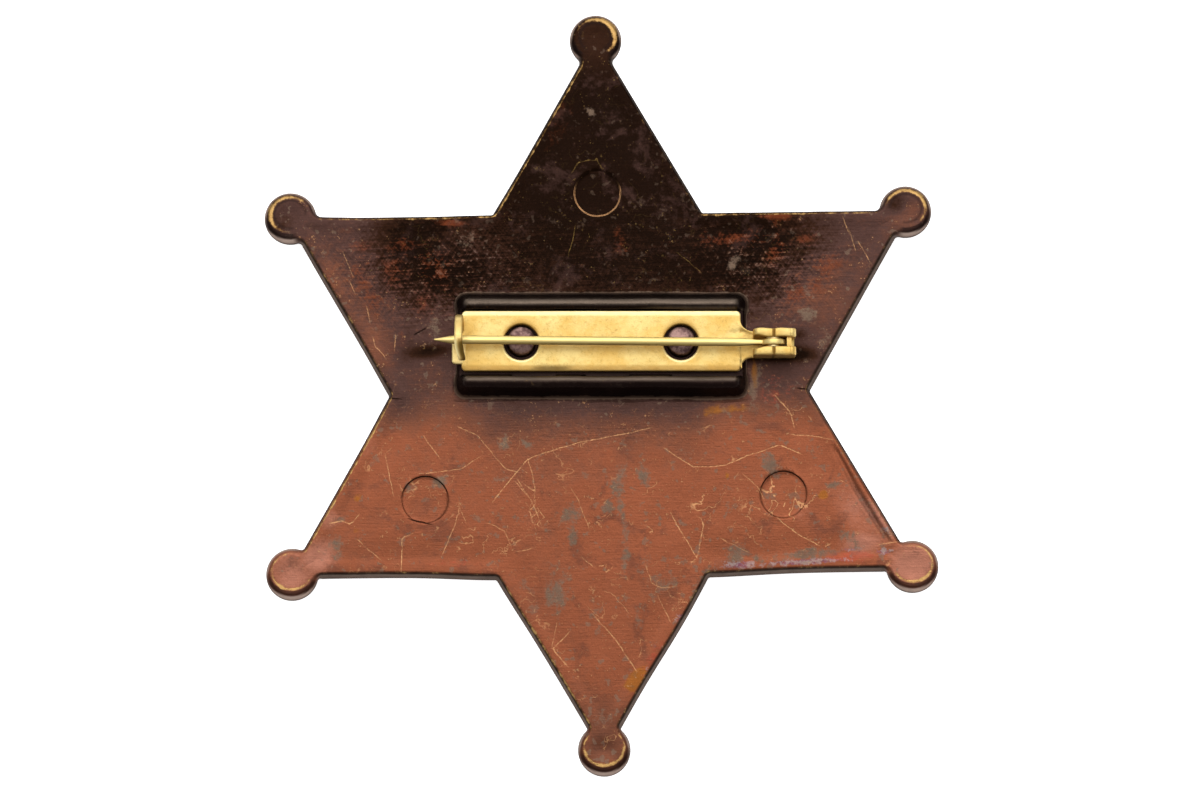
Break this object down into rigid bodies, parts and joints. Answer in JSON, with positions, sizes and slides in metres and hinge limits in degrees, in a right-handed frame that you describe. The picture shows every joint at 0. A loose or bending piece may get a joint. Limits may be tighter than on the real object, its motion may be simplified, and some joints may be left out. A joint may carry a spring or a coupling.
{
  "type": "sheriff star badge",
  "caption": "Six-pointed star badge with ball tips, cast in one piece and lying face down, with a hinged bar pin in a raised seat on its back.",
  "frame": {"origin": "under the star's centre, on the surface that the ball tips' domed fronts rest on", "axes": "+Z out of the badge's back, +Y towards the top point, +X from the catch towards the hinge"},
  "size_m": [0.0668, 0.0764, 0.0094],
  "materials": {
    "antique_copper": "zinc-alloy casting, copper plated and darkened, worn to brass on its edges",
    "satin_brass": "stamped sheet brass, satin",
    "bright_brass": "drawn brass wire, polished"
  },
  "bodies": {
    "badge": {"star_casting": "antique_copper", "clasp_plate": "satin_brass"},
    "rivet": {"hinge_rivet": "satin_brass"},
    "pin": {"pin_wire": "bright_brass"}
  },
  "joints": [
    {"name": "pin_swing", "type": "hinge", "parent": "badge", "child": "rivet", "pos_m": [0.01725, 0.00433, 0.00695], "axis": [0.0131, 0.9999, 0], "range_deg": [0, 110]},
    {"name": "pin_side", "type": "hinge", "parent": "rivet", "child": "pin", "pos_m": [0.01725, 0.00433, 0.00695], "axis": [0, 0, 1], "range_deg": [-2, 6]}
  ]
}
